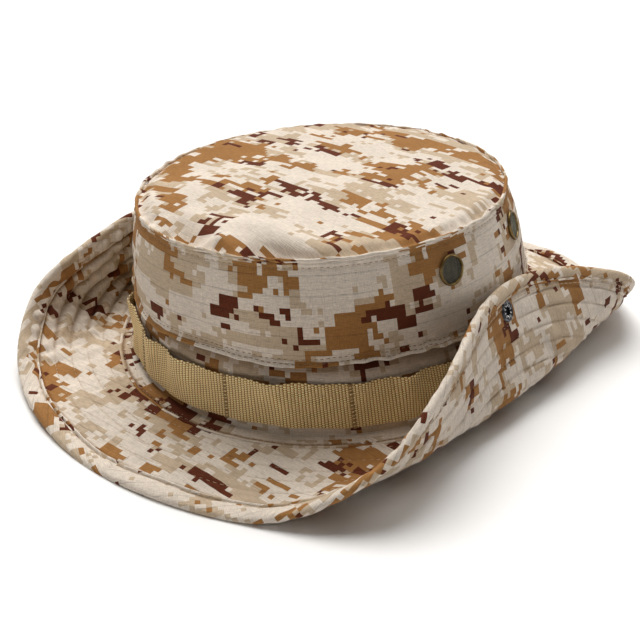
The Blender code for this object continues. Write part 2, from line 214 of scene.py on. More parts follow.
def snap_place(side):
    angle = math.radians(SNAP_ANGLE)
    return (angle if side == "right" else math.pi - angle), 1.0 - SNAP_EDGE_DISTANCE / BRIM_WIDTH


def near_snap(angle, share, width=9.0):
    u, v = brim_outline(angle, share)
    total = 0.0
    for side in SIDES:
        centre_u, centre_v = brim_outline(*snap_place(side))
        total = total + bell(np.hypot(u - centre_u, v - centre_v), width)
    return np.clip(total, 0.0, 1.0)


def brim_point(angle, share, offset):
    """A point of a brim layer. The brim waves gently, and lies flat where it reaches the table."""
    angle, share, offset = np.broadcast_arrays(angle, share, offset)
    u, v = brim_outline(angle, share)
    wave = ripple(u, v, 11, 62.0) * soft(share * 1.4) * (1.0 - near_snap(angle, share, 24.0))
    point = brim_middle(angle, share) + brim_normal(angle, share) * (offset + wave)[..., None]
    point[..., 2] = np.maximum(point[..., 2], TABLE_GAP)
    return point


def arc_table():
    angles = np.linspace(0.5 * math.pi, 2.5 * math.pi, 2881)
    return angles, lengths_along(crown_point(angles, WEBBING_FOOT + WEBBING_WIDTH / 2))


ARC_ANGLES, ARC_LENGTHS = arc_table()
GIRTH = ARC_LENGTHS[-1]


def arc_of(angle):
    """Length round the crown in mm from the back seam, at the webbing's height."""
    turned = (np.asarray(angle) - 0.5 * math.pi) % TURN + 0.5 * math.pi
    return np.interp(turned, ARC_ANGLES, ARC_LENGTHS)


def angle_of(arc):
    return np.interp(np.asarray(arc) % GIRTH, ARC_LENGTHS, ARC_ANGLES)


# Materials.

def linear(red, green, blue):
    """A colour given as it looks on a screen, from 0 to 255, as Blender wants it."""
    scaled = (c / 255.0 for c in (red, green, blue))
    return tuple(c / 12.92 if c <= 0.04045 else ((c + 0.055) / 1.055) ** 2.4 for c in scaled) + (1.0,)


class Paint:
    """Builds the nodes of one material. The cloth UV map holds millimetres of flat cloth."""

    def __init__(self, name, roughness, metallic=0.0, sheen=0.0, specular=0.5):
        self.material = bpy.data.materials.new(name)
        self.material.use_nodes = True
        self.tree = self.material.node_tree
        self.shader = self.tree.nodes["Principled BSDF"]
        self.shader.inputs["Metallic"].default_value = metallic
        self.shader.inputs["Sheen Weight"].default_value = sheen
        self.shader.inputs["Sheen Roughness"].default_value = 0.5
        self.shader.inputs["Roughness"].default_value = roughness
        self.shader.inputs["Specular IOR Level"].default_value = specular
        self.roughness = roughness
        self.cloth = self.node("ShaderNodeUVMap", uv_map="cloth")

    def node(self, kind, *values, output=0, **settings):
        made = self.tree.nodes.new(kind)
        for key, value in settings.items():
            setattr(made, key, value)
        for socket, value in zip(made.inputs, values):
            self.set(socket, value)
        return made.outputs[output]

    def set(self, socket, value):
        if isinstance(value, bpy.types.NodeSocket):
            self.tree.links.new(value, socket)
        elif value is not None:
            socket.default_value = value

    def math(self, operation, first, second=0.0):
        return self.node("ShaderNodeMath", first, second, operation=operation)

    def times(self, first, *others):
        for other in others:
            first = self.math("MULTIPLY", first, other)
        return first

    def plus(self, first, *others):
        for other in others:
            first = self.math("ADD", first, other)
        return first

    def vector(self, operation, first, second=(0.0, 0.0, 0.0)):
        return self.node("ShaderNodeVectorMath", first, second, operation=operation)

    def parts(self, vector):
        made = self.tree.nodes.new("ShaderNodeSeparateXYZ")
        self.tree.links.new(vector, made.inputs[0])
        return made.outputs[0], made.outputs[1]

    def noise(self, vector, scale, detail=2.0):
        made = self.tree.nodes.new("ShaderNodeTexNoise")
        self.tree.links.new(vector, made.inputs["Vector"])
        made.inputs["Scale"].default_value = scale
        made.inputs["Detail"].default_value = detail
        return made.outputs[0]

    def streaks(self, along, up, detail):
        """Noise with so many waves for each mm along and up the cloth."""
        return self.noise(self.vector("MULTIPLY", self.cloth, (along, up, 1.0)), 1.0, detail)

    def mix(self, factor, first, second, blend="MIX"):
        made = self.tree.nodes.new("ShaderNodeMix")
        made.data_type = "RGBA"
        made.blend_type = blend
        for index, value in ((0, factor), (6, first), (7, second)):
            self.set(made.inputs[index], value)
        return made.outputs[2]

    def spread(self, value, low, high, out_low, out_high):
        return self.node("ShaderNodeMapRange", value, low, high, out_low, out_high)

    def uneven(self, noise, out_low, out_high):
        """Most of a noise's range spread over new limits."""
        return self.spread(noise, 0.3, 0.7, out_low, out_high)

    def lines(self, coordinate, pitch, width):
        """1 on thin lines a pitch apart, else 0."""
        phase = self.math("FRACT", self.math("DIVIDE", coordinate, pitch))
        return self.math("LESS_THAN", phase, width / pitch)

    def waves(self, coordinate, pitch):
        """From 0 to 1 and back over each pitch."""
        return self.math("ABSOLUTE", self.math("SINE", self.times(coordinate, math.pi / pitch)))

    def brighten(self, colour, factor):
        """The colour times a grey factor."""
        grey = self.node("ShaderNodeCombineColor", factor, factor, factor)
        return self.mix(1.0, colour, grey, "MULTIPLY")

    def toned(self, colour):
        """The colour lightened by painted highlight or darkened by painted shade, both read from the mesh's
        shade attribute; the darker, the warmer, as bounced light makes it.
        """
        shade = self.node("ShaderNodeAttribute", output=2, attribute_name="shade")
        gains = (0.84, 1.0, 1.14)
        tones = (self.node("ShaderNodeMath", shade, gain, 1.0, operation="MULTIPLY_ADD") for gain in gains)
        return self.mix(1.0, colour, self.node("ShaderNodeCombineColor", *tones), "MULTIPLY")

    def finish(self, colour, height, depth, roughness_spread=0.12, rough_scale=0.8):
        """Sets the colour, an uneven roughness and a bump of depth mm, and gives the material."""
        self.set(self.shader.inputs["Base Color"], colour)
        rough = self.noise(self.cloth, rough_scale, 3.0)
        low, high = self.roughness - roughness_spread, self.roughness + roughness_spread
        self.set(self.shader.inputs["Roughness"], self.uneven(rough, max(low, 0.05), min(high, 1.0)))
        bump = self.tree.nodes.new("ShaderNodeBump")
        bump.inputs["Distance"].default_value = depth * MM
        bump.inputs["Strength"].default_value = 1.0
        self.tree.links.new(height, bump.inputs["Height"])
        self.tree.links.new(bump.outputs[0], self.shader.inputs["Normal"])
        return self.material


CREAM = linear(230, 217, 202)
TAN = linear(202, 181, 155)
CARAMEL = linear(164, 117, 67)
BROWN = linear(98, 46, 24)
FINE_CELL, COARSE_CELL = 2.3, 4.6

# Each layer of the print: colour, shift, blob width and height in mm, and the noise level it prints above.
CAMO_LAYERS = (
    (TAN, 3.0, (40.0, 22.0), 0.543),
    (TAN, 57.0, (17.0, 11.0), 0.610),
    (CARAMEL, 17.0, (40.0, 21.0), 0.558),
    (TAN, 71.0, (14.0, 10.0), 0.656),
    (CREAM, 29.0, (18.0, 12.0), 0.638),
    (BROWN, 41.0, (24.0, 17.0), 0.610),
)


def camo_print(paint, seed, strength):
    """A desert pixel pattern: blobs of noise read at square cells of two sizes."""
    place = paint.vector("ADD", paint.cloth, (431.0 + 97.0 * seed, 613.0 + 53.0 * seed, 0.0))
    cells = []
    for size in (COARSE_CELL, FINE_CELL):
        cell = paint.vector("FLOOR", paint.vector("MULTIPLY", place, (1.0 / size, 1.0 / size, 0.0)))
        cells.append(paint.vector("MULTIPLY", cell, (size, size, 0.0)))
    coarse, fine = cells
    colour = CREAM
    for ink, shift, (wide, tall), level in CAMO_LAYERS:
        offset = (shift, shift * 2.3, 0.0)
        noises = []
        for cell, scale, weight in ((coarse, 1.0, 0.52), (coarse, 2.6, 0.27), (fine, 4.6, 0.21)):
            blobs = paint.vector("MULTIPLY", cell, (scale / wide, scale / tall, 0.0))
            noises.append(paint.times(paint.noise(paint.vector("ADD", blobs, offset), 1.0, 0.0), weight))
        mask = paint.math("GREATER_THAN", paint.plus(*noises), level)
        if strength < 1.0:
            mask = paint.times(mask, strength)
        colour = paint.mix(mask, colour, ink)
    return colour


def camo_cloth(name, seed, strength=1.0, ripstop=1.0):
    """Printed ripstop cotton; strength is the print's, and ripstop how much its thicker threads show."""
    paint = Paint(name, 0.88, sheen=0.03, specular=0.18)
    colour = camo_print(paint, seed, strength)
    across, up = paint.parts(paint.cloth)
    threads, yarn = paint.streaks(0.30, 3.0, 3.0), paint.streaks(3.2, 0.45, 2.0)
    patch = paint.noise(paint.cloth, 0.045, 3.0)
    factor = paint.times(
        paint.uneven(threads, 0.83, 1.13), paint.uneven(yarn, 0.88, 1.09), paint.uneven(patch, 0.94, 1.04)
    )
    seen = paint.spread(paint.streaks(0.05, 0.2, 2.0), 0.35, 0.65, 0.2, 1.0)
    faint = paint.times(paint.lines(up, RIPSTOP_PITCH, 0.42), 0.06 * ripstop)
    strong = paint.times(paint.lines(up, 3.0 * RIPSTOP_PITCH, 0.5), 0.13 * ripstop)
    cross = paint.times(paint.lines(across, 2.0 * RIPSTOP_PITCH, 0.35), 0.03)
    rip = paint.plus(paint.times(paint.plus(faint, strong), seen), cross)
    factor = paint.math("SUBTRACT", factor, rip)
    weave = paint.plus(paint.waves(across, WEAVE_PITCH), paint.waves(up, WEAVE_PITCH))
    height = paint.plus(
        paint.times(weave, 0.5), paint.times(threads, 2.0), paint.times(yarn, 1.2), paint.times(rip, 8.0)
    )
    return paint.finish(paint.toned(paint.brighten(colour, factor)), height, 0.13)


def plain_cloth(name, colour, warp=0.7, contrast=0.10, roughness=0.85, sheen=0.1):
    """Undyed or dyed plain weave, with uneven threads and soft patches of wear."""
    paint = Paint(name, roughness, sheen=sheen)
    across, up = paint.parts(paint.cloth)
    weave = paint.times(paint.waves(across, warp), paint.waves(up, warp))
    slub = paint.streaks(0.25, 2.2, 3.0)
    patch = paint.noise(paint.cloth, 0.06, 3.0)
    factor = paint.times(
        paint.uneven(slub, 1.0 - contrast, 1.0 + contrast),
        paint.uneven(patch, 0.93, 1.05),
        paint.spread(weave, 0.0, 1.0, 0.9, 1.05),
    )
    return paint.finish(paint.brighten(colour, factor), paint.plus(weave, slub), 0.09)


def webbing_cloth():
    """Ribbed nylon, each rib a row of beads set half a bead from its neighbours."""
    paint = Paint("khaki_webbing", 0.46, sheen=0.08, specular=0.55)
    across, up = paint.parts(paint.cloth)
    column = paint.math("MODULO", paint.math("FLOOR", paint.math("DIVIDE", across, RIB_PITCH)), 2.0)
    bead = paint.waves(paint.plus(up, paint.times(column, BEAD_PITCH / 2)), BEAD_PITCH)
    rib = paint.math("POWER", paint.waves(across, RIB_PITCH), 0.7)
    relief = paint.times(rib, paint.spread(bead, 0.0, 0.9, 0.08, 1.0))
    # The colour follows the relief: painted shade between the beads and a painted highlight on their crests.
    gap_shade, yarn, crest_highlight = linear(104, 68, 28), linear(238, 196, 126), linear(242, 226, 176)
    colour = paint.mix(paint.spread(relief, 0.12, 0.42, 0.0, 1.0), gap_shade, yarn)
    colour = paint.mix(paint.spread(relief, 0.45, 0.80, 0.0, 1.0), colour, crest_highlight)
    patch, strand = paint.noise(paint.cloth, 0.12, 3.0), paint.noise(paint.cloth, 2.4, 2.0)
    factor = paint.times(paint.uneven(patch, 1.24, 1.42), paint.uneven(strand, 0.90, 1.08))
    return paint.finish(paint.toned(paint.brighten(colour, factor)), relief, 0.45)


def thread(name, colour):
    paint = Paint(name, 0.6, sheen=0.2)
    twist = paint.waves(paint.plus(*paint.parts(paint.cloth)), 0.3)
    patch = paint.noise(paint.cloth, 0.3, 2.0)
    factor = paint.times(paint.spread(twist, 0.0, 1.0, 0.85, 1.08), paint.uneven(patch, 0.9, 1.1))
    return paint.finish(paint.brighten(colour, factor), twist, 0.04)


def metal(name, colour, worn, roughness, wear=0.5, patches=0.55):
    """Metal with fine scratches and rubbed patches."""
    paint = Paint(name, roughness, metallic=1.0)
    scratch = paint.streaks(0.5, 6.0, 4.0)
    rubbed = paint.spread(paint.noise(paint.cloth, patches, 2.0), wear - 0.06, wear + 0.14, 0.0, 1.0)
    mixed = paint.brighten(paint.mix(rubbed, colour, worn), paint.uneven(scratch, 0.85, 1.1))
    return paint.finish(mixed, scratch, 0.015, 0.1, 1.5)


CAMO = {
    key: camo_cloth(f"camo_{key}", seed, 1.0, 0.35 if key == "top" else 1.0)
    for seed, key in enumerate(("top", "side", "band", "brim_upper", "brim_under", "hem"), 1)
}
REVERSE = camo_cloth("camo_reverse", 8, strength=0.22)
INTERLINING = plain_cloth("interlining_weave", linear(214, 208, 192), 0.9)
SWEATBAND = plain_cloth("sweatband_weave", linear(176, 152, 118), 1.0)
TAPE = plain_cloth("tape_weave", linear(184, 160, 124), 0.6)
LABEL = plain_cloth("label_satin", linear(226, 220, 206), 0.35, 0.04, 0.5, 0.3)
WEBBING = webbing_cloth()
THREAD_TAN = thread("thread_tan", linear(192, 166, 132))
THREAD_BROWN = thread("thread_brown", linear(146, 112, 74))
THREAD_KHAKI = thread("thread_khaki", linear(170, 136, 84))
BRASS = metal("antique_brass", linear(104, 84, 50), linear(190, 164, 112), 0.36, 0.52, 0.16)
WIRE = metal("vent_wire", linear(108, 106, 96), linear(156, 152, 136), 0.42)
GUNMETAL = metal("snap_gunmetal", linear(58, 58, 62), linear(120, 120, 124), 0.34)
# A near-black finish painted on the snap's cup as the shade inside its hollow.
HOLLOW_SHADE = metal("snap_hollow_shade", linear(16, 16, 18), linear(30, 30, 32), 0.7)
CHROME = metal("snap_prongs", linear(196, 196, 198), linear(232, 232, 232), 0.22)

# The body that the crown and the lying brim ride on, and the slots used more than once.
CROWN = "crown_and_brim"
CAMO_SLOT, SWEATBAND_SLOT, WEBBING_SLOT = "desert_camo_cloth", "sweatband_cloth", "nylon_webbing"
METAL_SLOT, BRASS_SLOT = "snap_metal", "antique_brass"


# Mesh building.

def mesh_object(name, points, faces, uv, materials, slots=None, weld=None, shade=None, sharp=50.0):
    """A mesh of quads from points and cloth coordinates in mm. weld is the point each one is joined to."""
    weld = np.arange(len(points)) if weld is None else weld
    used, index = np.unique(weld, return_inverse=True)
    corners = index.reshape(-1)[faces]
    mesh = bpy.data.meshes.new(name)
    mesh.vertices.add(len(used))
    mesh.vertices.foreach_set("co", (points[used] * MM).astype(np.float32).ravel())
    mesh.loops.add(corners.size)
    mesh.loops.foreach_set("vertex_index", corners.astype(np.int32).ravel())
    mesh.polygons.add(len(faces))
    mesh.polygons.foreach_set("loop_start", np.arange(0, corners.size, 4, dtype=np.int32))
    if slots is not None:
        mesh.polygons.foreach_set("material_index", np.asarray(slots, np.int32))
    mesh.update(calc_edges=True)
    layer = mesh.uv_layers.new(name="cloth")
    layer.data.foreach_set("uv", uv[faces].astype(np.float32).ravel())
    # The shade attribute is painted light: below 0 painted shade, above 0 painted highlight.
    if shade is not None:
        attribute = mesh.attributes.new("shade", "FLOAT", "POINT")
        attribute.data.foreach_set("value", shade[used].astype(np.float32))
    for material in materials:
        mesh.materials.append(material)
    mesh.validate()
    mesh.shade_smooth()
    mesh.set_sharp_from_angle(angle=math.radians(sharp))
    obj = bpy.data.objects.new(name, mesh)
    bpy.context.scene.collection.objects.link(obj)
    return obj


def grid_faces(rows, columns):
    corner = (np.arange(rows - 1)[:, None] * columns + np.arange(columns - 1)).reshape(-1)
    return np.stack((corner, corner + 1, corner + columns + 1, corner + columns), axis=-1)


def face_out(points, faces, outward):
    """The faces, turned round if they face against outward, which is given for each point."""
    first, second, last = (points[faces[:, k]] for k in (0, 1, 3))
    facing = (np.cross(second - first, last - first) * outward[faces[:, 0]]).sum()
    return faces if facing > 0 else faces[:, ::-1]


def cloth_solid(name, outer, inner, uv, materials, wrap=False, keep=None, shade=None):
    """A closed sheet between two grids of points. With wrap, its last column is its first."""
    rows, columns = outer.shape[:2]
    count = rows * columns
    points = np.concatenate((outer.reshape(-1, 3), inner.reshape(-1, 3)))
    faces = grid_faces(rows, columns)
    if keep is not None:
        faces = faces[keep.reshape(-1)]
    weld = np.arange(count).reshape(rows, columns)
    if wrap:
        weld[:, -1] = weld[:, 0]
    weld = weld.reshape(-1)
    faces = face_out(points, faces, points[:count] - points[count:])
    start, end = faces.reshape(-1), np.roll(faces, -1, axis=1).reshape(-1)
    edge = ~np.isin(weld[start] * count + weld[end], weld[end] * count + weld[start])
    start, end = start[edge], end[edge]
    sides = np.stack((end, start, start + count, end + count), axis=-1)
    slots = np.repeat((0, min(1, len(materials) - 1), 0), (len(faces), len(faces), len(sides)))
    faces = np.concatenate((faces, faces[:, ::-1] + count, sides))
    flat = uv.reshape(-1, 2)
    tones = None if shade is None else np.tile(shade.reshape(-1), 2)
    weld = np.concatenate((weld, weld + count))
    return mesh_object(name, points, faces, np.concatenate((flat, flat)), materials, slots, weld, tones)


def tube(name, loops, uv, materials, wrap=True, shade=None, sharp=50.0):
    """A surface through rows of points. Its last row is its first, and with wrap its last column too."""
    rows, columns = loops.shape[:2]
    weld = np.arange(rows * columns).reshape(rows, columns)
    weld[-1] = weld[0]
    if wrap:
        weld[:, -1] = weld[:, 0]
    points = loops.reshape(-1, 3)
    outward = (loops - loops[:-1].mean(axis=0)).reshape(-1, 3)
    faces = face_out(points, grid_faces(rows, columns), outward)
    tones = None if shade is None else shade.reshape(-1)
    flat, weld = uv.reshape(-1, 2), weld.reshape(-1)
    return mesh_object(name, points, faces, flat, materials, None, weld, tones, sharp)


def strands(name, lines, normals, radii, material):
    """Threads or wires: each line is a row of points, with a square section that shades as round."""
    count, length = lines.shape[:2]
    tangent = unit(np.gradient(lines, axis=1))
    side = unit(np.cross(tangent, normals))
    up = np.cross(side, tangent)
    radii = np.broadcast_to(radii, (count, length))[..., None]
    ring = np.stack((up, side, -up, -side), axis=2)
    points = (lines[:, :, None, :] + ring * radii[..., None]).reshape(-1, 3)
    step = np.arange(length - 1)[:, None] * 4
    corner, following = np.arange(4), (np.arange(4) + 1) % 4
    wall = np.stack((step + corner, step + following, step + 4 + following, step + 4 + corner), axis=-1)
    last = 4 * (length - 1)
    ends = np.array(((3, 2, 1, 0), (last, last + 1, last + 2, last + 3)))
    one = np.concatenate((wall.reshape(-1, 4), ends))
    faces = (np.arange(count)[:, None, None] * 4 * length + one).reshape(-1, 4)
    faces = face_out(points, faces, ring.reshape(-1, 3))
    run = np.linspace(0.0, 2.4, length)[None, :, None] + np.arange(count)[:, None, None] * 3.7
    uv = paired(run, np.arange(4) * 0.4).reshape(-1, 2)
    return mesh_object(name, points, faces, uv, (material,), sharp=180.0)


def stitch_run(path, normals, pitch, length, lift=0.1, seed=0):
    """Stitches laid end to end along a path: their lines of four points and their normals."""
    arc = lengths_along(path)
    count = max(int(arc[-1] / pitch), 1)
    middle = (np.arange(count) + 0.5) * arc[-1] / count
    middle = middle + np.random.default_rng(seed).uniform(-0.06, 0.06, count) * pitch

    def sample(values, at):
        return np.stack([np.interp(at, arc, values[:, k]) for k in range(3)], axis=-1)

    normal = unit(sample(normals, middle))
    ends = ((-0.5, lift - STITCH_SINK), (-0.3, lift), (0.3, lift), (0.5, lift - STITCH_SINK))
    lines = np.stack([sample(path, middle + t * length) + normal * rise for t, rise in ends], axis=1)
    return lines, np.broadcast_to(normal[:, None, :], lines.shape)


def stitches(name, runs, radius, material):
    lines = np.concatenate([run[0] for run in runs])
    lines[..., 2] = np.maximum(lines[..., 2], radius + STITCH_TABLE_GAP)
    normals = np.concatenate([run[1] for run in runs])
    return strands(name, lines, normals, radius * np.array((0.45, 1.0, 1.0, 0.45)), material)


def rounded(profile, times=2):
    """A closed outline with its corners cut, times over."""
    points = np.asarray(profile, float)
    for _ in range(times):
        after = np.roll(points, -1, axis=0)
        points = np.stack((0.75 * points + 0.25 * after, 0.25 * points + 0.75 * after), axis=1).reshape(-1, 2)
    return points


def basis(normal):
    level = unit(np.cross((0.0, 0.0, 1.0), normal))
    return level, np.cross(normal, level)


def turned(name, profile, origin, normal, material, segments=96, times=2):
    """A ring turned about the normal: profile is a closed outline of (radius, height)."""
    outline = rounded(profile, times)
    outline = np.concatenate((outline, outline[:1]))
    first, second = basis(normal)
    angles = np.linspace(0.0, TURN, segments + 1)
    spoke = np.cos(angles)[:, None] * first + np.sin(angles)[:, None] * second
    loops = origin + outline[:, None, :1] * spoke + outline[:, None, 1:] * normal
    uv = paired(lengths_along(outline)[:, None], angles * outline[:, 0].mean())
    return tube(name, loops, uv, (material,), sharp=180.0)


def fix(obj, body, slot, *nodes):
    """Rides the piece on a body and lets it stand for the nodes."""
    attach(obj, body)
    if nodes:
        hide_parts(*nodes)
    return obj


def bend(obj, side, slot, *nodes):
    """Bakes a brim piece's placement into its mesh and lets it stand for the nodes."""
    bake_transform(obj)
    if nodes:
        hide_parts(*nodes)
    return obj


# Crown.

def vents():
    for side in SIDES:
        for end, degrees in VENT_ANGLES.items():
            angle = math.radians(degrees)
            yield side, end, (angle if side == "right" else math.pi - angle)


def away_from_vents(angle, height):
    """0 at a vent's middle, rising to 1 away from it."""
    place = crown_point(angle, height)
    calm = 1.0
    for _, _, vent_angle in vents():
        distance = np.linalg.norm(place - crown_point(vent_angle, VENT_HEIGHT), axis=-1)
        calm = calm * (1.0 - bell(distance, 9.5))
    return calm


def side_relief(angle, height):
    """How far the side panel stands out: its waves, its hollow at the front, and its puckered edges."""
    arc = arc_of(angle)
    top, foot = CROWN_HEIGHT - height, height - TUCK_HEIGHT
    relief = 0.75 * ripple(arc, height, 21, 62.0, 1.3)
    hollow_arc = np.abs(arc - arc_of(math.radians(-84.5)))
    relief = relief - 1.5 * bell(hollow_arc, 17.0) * bell(height - 38.0, 7.0)
    relief = relief + 0.8 * bell(arc - arc_of(math.radians(-112.0)), 14.0) * bell(height - 52.0, 16.0)
    relief = relief + 0.30 * ripple(arc, height, 22, 8.0, 3.0) * np.exp(-top / 6.0)
    relief = relief + 0.30 * ripple(arc, height, 23, 9.0, 3.0) * np.exp(-foot / 6.0)
    relief = relief + 0.10 * ripple(arc, height, 24, 14.0, 0.6)
    relief = relief * away_from_vents(angle, height)
    relief = relief + 0.40 * bell(top - 1.2, 0.9) - 0.35 * bell(top - TOP_STITCH_DROP, 0.55)
    relief = relief + 1.5 * bell(foot - 0.2, 1.5)
    for row in TUCK_STITCHES:
        relief = relief - 0.28 * bell(foot - row, 0.5)
    return relief


def waved(arc, height):
    """Heights on the side panel moved with the tuck's edge, which strays up and down."""
    stray = 0.8 * ripple(arc, 0.0, 31, 58.0) + 0.18 * ripple(arc, 0.0, 32, 10.0)
    return height + stray * soft(1.0 - (height - TUCK_HEIGHT) / TUCK_WAVE_REACH)


def crown_columns(count):
    """Evenly spaced round the crown from the back seam: angles and lengths, the last meeting the first."""
    arc = np.linspace(0.0, GIRTH, count + 1)
    angle = np.interp(arc, ARC_LENGTHS, ARC_ANGLES)
    return angle[None, :], arc[None, :]


def vent_hole(outer, angle):
    """The points of the side panel inside a vent's hole, and the push that moves them to its edge."""
    origin, normal = crown_point(angle, VENT_HEIGHT), crown_normal(angle, VENT_HEIGHT)
    away = outer - origin
    across = away - (away @ normal)[..., None] * normal
    distance = np.linalg.norm(across, axis=-1)
    inside = (distance < VENT_HOLE) & (np.linalg.norm(away, axis=-1) < 2 * VENT_HOLE)
    return inside, np.where(inside, VENT_HOLE / np.maximum(distance, 0.01) - 1.0, 0.0)[..., None] * across


def build_side():
    angle, arc = crown_columns(CROWN_COLUMNS)
    still = np.linspace(TUCK_HEIGHT, CROWN_HEIGHT, SIDE_ROWS)[:, None]
    angle, still = np.broadcast_arrays(angle, still)
    top, foot = CROWN_HEIGHT - still, still - TUCK_HEIGHT
    height, relief = waved(arc, still), side_relief(angle, still)
    outer, inner = (crown_point(angle, height, relief - depth) for depth in (0.0, CLOTH_THICKNESS))
    keep = np.ones((SIDE_ROWS - 1, CROWN_COLUMNS), bool)
    for _, _, vent_angle in vents():
        inside, push = vent_hole(outer, vent_angle)
        keep &= ~(inside[:-1, :-1] & inside[1:, :-1] & inside[:-1, 1:] & inside[1:, 1:])
        outer, inner = outer + push, inner + push
    # Painted highlight on the tuck's folded edge and the top seam's ridge, and painted shade along the stitch
    # rows.
    shade = 0.20 * bell(foot, 0.6) + 0.06 * bell(top - 0.9, 0.8) - 0.12 * bell(top - TOP_STITCH_DROP, 0.5)
    for row in TUCK_STITCHES:
        shade = shade - 0.08 * bell(foot - row, 0.45)
    uv, cloth = paired(arc, height), (CAMO["side"], REVERSE)
    piece = cloth_solid("crown_side", outer, inner, uv, cloth, True, keep, shade)
    fix(piece, CROWN, CAMO_SLOT, "crown_side_panel")


# Hollows and puffs of the top panel: middle x and y, half widths round and across the rim, and height.
TOP_DENTS = (
    (-14.0, -88.0, 13.0, 7.0, -9.0),
    (31.0, -79.0, 17.0, 6.5, -8.0),
    (3.0, -87.0, 5.5, 5.0, 2.6),
    (8.0, -70.0, 34.0, 6.0, 1.5),
    (-52.0, -62.0, 9.0, 12.0, -1.3),
    (62.0, -36.0, 9.0, 16.0, -0.9),
    (10.0, 48.0, 26.0, 16.0, -1.0),
)
TOP_CREASE = (34.5, -72.3)
TOP_CREASE_WAY = (0.953, 0.302)


def top_surface(across, front):
    """The top panel over the unit disc; across is along X and front is along Y."""
    ring, angle = np.hypot(across, front), np.arctan2(front, across)
    rim = crown_point(angle, CROWN_HEIGHT, -0.5)
    middle = crown_point(0.0, CROWN_HEIGHT) / 2 + crown_point(math.pi, CROWN_HEIGHT) / 2
    point = middle + (rim - middle) * ring[..., None]
    x, y = point[..., 0], point[..., 1]
    inward = (1.0 - ring) * 84.0
    lift = 0.3 + 2.7 * soft(inward / 7.0) + 3.3 * (1.0 - ring**2)
    free = soft(inward / 12.0)
    lift = lift + 0.75 * ripple(x, y, 41, 58.0) * free + 0.22 * ripple(x, y, 42, 19.0) * free
    lift = lift + 0.55 * ripple(arc_of(angle), inward, 43, 9.0, 3.5) * np.exp(-((inward - 2.5) / 5.0) ** 2)
    for cx, cy, rx, ry, depth in TOP_DENTS:
        turn = math.atan2(-cx, -cy)
        u = (x - cx) * math.cos(turn) - (y - cy) * math.sin(turn)
        v = (x - cx) * math.sin(turn) + (y - cy) * math.cos(turn)
        lift = lift + depth * np.exp(-((u / rx) ** 2) - (v / ry) ** 2) * soft(inward / 2.5)
    x, y = x - TOP_CREASE[0], y - TOP_CREASE[1]
    crease = x * TOP_CREASE_WAY[1] - y * TOP_CREASE_WAY[0]
    run = x * TOP_CREASE_WAY[0] + y * TOP_CREASE_WAY[1]
    point[..., 2] += lift - 0.8 * bell(crease, 1.1) * bell(run, 14.0)
    return point


def build_top():
    line = np.linspace(-1.0, 1.0, TOP_LINES)
    a, b = np.meshgrid(line, line, indexing="ij")
    outer = top_surface(a * np.sqrt(1.0 - b * b / 2.0), b * np.sqrt(1.0 - a * a / 2.0))
    inner = outer - (0.0, 0.0, CLOTH_THICKNESS)
    piece = cloth_solid("crown_top", outer, inner, outer[..., :2], (CAMO["top"], REVERSE))
    fix(piece, CROWN, CAMO_SLOT, "crown_top_panel")


def build_top_seam():
    """The seam's turned-in edges, a thin roll round the top."""
    angle, arc = crown_columns(CROWN_COLUMNS)
    turn = np.linspace(0.0, TURN, 13)[:, None]
    size = 1.0 + 0.12 * ripple(arc, 0.0, 51, 11.0)
    height = CROWN_HEIGHT + 0.75 + 0.95 * size * np.sin(turn) + 0.25 * ripple(arc, 0.0, 52, 12.0)
    offset = -0.15 + 0.75 * size * np.cos(turn) + 0.3 * ripple(arc, 0.0, 53, 26.0)
    # A faint painted highlight along the whole roll.
    shade = np.broadcast_to(0.05, height.shape)
    loops = crown_point(angle, height, offset)
    piece = tube("crown_top_seam", loops, paired(arc + turn, height), (CAMO["side"],), True, shade)
    fix(piece, CROWN, CAMO_SLOT)


def band_surface(angle, step, offset=0.0):
    """The lower band: step is 0 at its hidden top, 1 at the seam foot and 2 at the flange's edge."""
    arc = arc_of(angle)
    height = TUCK_HEIGHT + 1.5 + (3.4 - TUCK_HEIGHT - 1.5) * np.clip(step, 0.0, 1.0)
    relief = -1.5 + 0.22 * ripple(arc, height, 61, 10.0, 2.5) + 0.3 * ripple(arc, height, 62, 40.0)
    relief = relief - 1.8 * bell(height - TUCK_HEIGHT + 0.4, 3.4)
    wall = crown_point(angle, height, relief + offset)
    flare = np.clip(step - 1.0, 0.0, 1.0)[..., None]
    corner = crown_point(angle, 1.2, offset - 1.2)
    share = 0.030 + 0.004 * ripple(arc, 0.0, 63, 16.0)
    edge = brim_point(angle, share, 1.75 + offset + 0.18 * ripple(arc, 0.0, 64, 9.0))
    return wall * (1.0 - flare) ** 2 + corner * 2.0 * flare * (1.0 - flare) + edge * flare**2


def build_band():
    angle, arc = crown_columns(CROWN_COLUMNS)
    step = np.concatenate((np.linspace(0.0, 1.0, 34), np.linspace(1.0, 2.0, 31)[1:]))[:, None]
    angle, step = np.broadcast_arrays(angle, step)
    outer, inner = (band_surface(angle, step, -depth) for depth in (0.0, CLOTH_THICKNESS))
    drop = TUCK_HEIGHT - 30.0 * np.minimum(step, 1.0) - 8.0 * np.maximum(step - 1.0, 0.0)
    # Painted shadow under the tuck's overhang, a painted shade line at the flange's stitches, and painted
    # highlights on the flange and its edge.
    shade = -0.50 * bell(step - 0.08, 0.17) - 0.62 * bell(step - FLANGE_STITCHES, 0.06)
    shade = shade + 0.10 * bell(step - 2.0, 0.04) + 0.05 * bell(step - 1.6, 0.2)
    uv, cloth = paired(arc, drop), (CAMO["band"], REVERSE)
    piece = cloth_solid("crown_band", outer, inner, uv, cloth, True, None, shade)
    fix(piece, CROWN, CAMO_SLOT, "crown_lower_band")


def bartack_arcs():
    return (arc_of(FIRST_BARTACK) + np.arange(BARTACKS) * GIRTH / BARTACKS) % GIRTH


def webbing_bow(arc):
    """1 midway between bartacks, 0 at one."""
    phase = (arc - arc_of(FIRST_BARTACK)) / (GIRTH / BARTACKS)
    return np.abs(np.sin(np.pi * phase))


